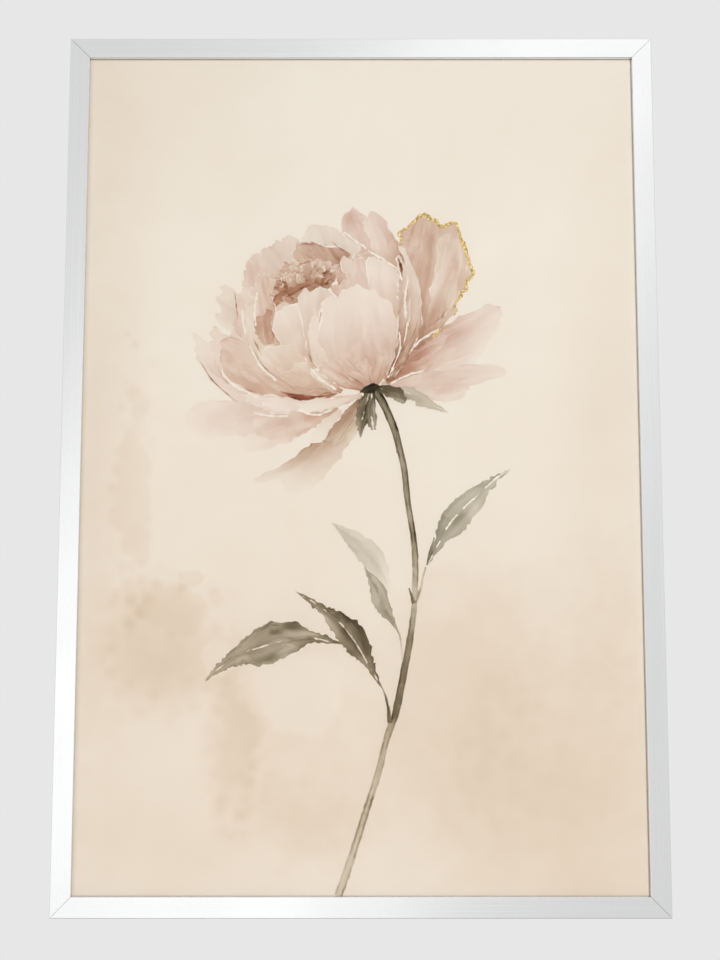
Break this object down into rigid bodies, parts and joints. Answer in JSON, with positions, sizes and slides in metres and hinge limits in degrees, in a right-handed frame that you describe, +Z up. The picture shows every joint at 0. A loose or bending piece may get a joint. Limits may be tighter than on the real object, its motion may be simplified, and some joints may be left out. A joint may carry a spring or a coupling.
{
  "type": "framed art print",
  "caption": "Flat-faced silver aluminium picture frame with mitred corners, holding a glazed botanical art print, hung by D-rings on its back.",
  "frame": {"origin": "centre of the whole part's box, on the middle of the picture, halfway between the front face and the wall", "axes": "+X to the right seen from the front, +Y back towards the wall, +Z up; the picture faces -Y"},
  "size_m": [0.631, 0.0334, 0.931],
  "materials": {
    "silver_aluminium": "polished and anodised, bright silver with a fine lengthwise grain",
    "clear_glass": "clear float glass with a slight green edge",
    "print_paper": "matt watercolour paper, printed with a blush peony on a warm beige wash",
    "ivory_card": "matt ivory card",
    "fibreboard": "brown fibreboard, smooth with fine flecks",
    "spring_steel": "blued grey spring steel, satin",
    "zinc_steel": "bright zinc plate, satin",
    "black_rubber": "matt black rubber"
  },
  "bodies": {
    "frame": {"art_print": "print_paper", "back_panel": "fibreboard", "backing_card": "ivory_card", "bumper_left": "black_rubber", "bumper_right": "black_rubber", "corner_plate_plain_bottom_left": "zinc_steel", "corner_plate_plain_bottom_right": "zinc_steel", "corner_plate_plain_top_left": "zinc_steel", "corner_plate_plain_top_right": "zinc_steel", "corner_plate_threaded_bottom_left": "zinc_steel", "corner_plate_threaded_bottom_right": "zinc_steel", "corner_plate_threaded_top_left": "zinc_steel", "corner_plate_threaded_top_right": "zinc_steel", "glass": "clear_glass", "hanger_screw_left": "zinc_steel", "hanger_screw_right": "zinc_steel", "hanger_strap_left": "zinc_steel", "hanger_strap_right": "zinc_steel", "rail_bottom": "silver_aluminium", "rail_left": "silver_aluminium", "rail_right": "silver_aluminium", "rail_top": "silver_aluminium", "set_screw_bottom_left_1": "spring_steel", "set_screw_bottom_left_2": "spring_steel", "set_screw_bottom_right_1": "spring_steel", "set_screw_bottom_right_2": "spring_steel", "set_screw_top_left_1": "spring_steel", "set_screw_top_left_2": "spring_steel", "set_screw_top_right_1": "spring_steel", "set_screw_top_right_2": "spring_steel", "slide_nut_left": "zinc_steel", "slide_nut_right": "zinc_steel", "spring_clip_bottom_1": "spring_steel", "spring_clip_bottom_2": "spring_steel", "spring_clip_left_1": "spring_steel", "spring_clip_left_2": "spring_steel", "spring_clip_left_3": "spring_steel", "spring_clip_right_1": "spring_steel", "spring_clip_right_2": "spring_steel", "spring_clip_right_3": "spring_steel", "spring_clip_top_1": "spring_steel", "spring_clip_top_2": "spring_steel"},
    "ring_left": {"hanger_ring_left": "zinc_steel"},
    "ring_right": {"hanger_ring_right": "zinc_steel"}
  },
  "joints": [
    {"name": "ring_left_swing", "type": "hinge", "parent": "frame", "child": "ring_left", "pos_m": [-0.29695, 0.01395, 0.23], "axis": [0, 0, 1], "range_deg": [-70, 170]},
    {"name": "ring_right_swing", "type": "hinge", "parent": "frame", "child": "ring_right", "pos_m": [0.29695, 0.01395, 0.23], "axis": [0, 0, -1], "range_deg": [-70, 170]}
  ]
}
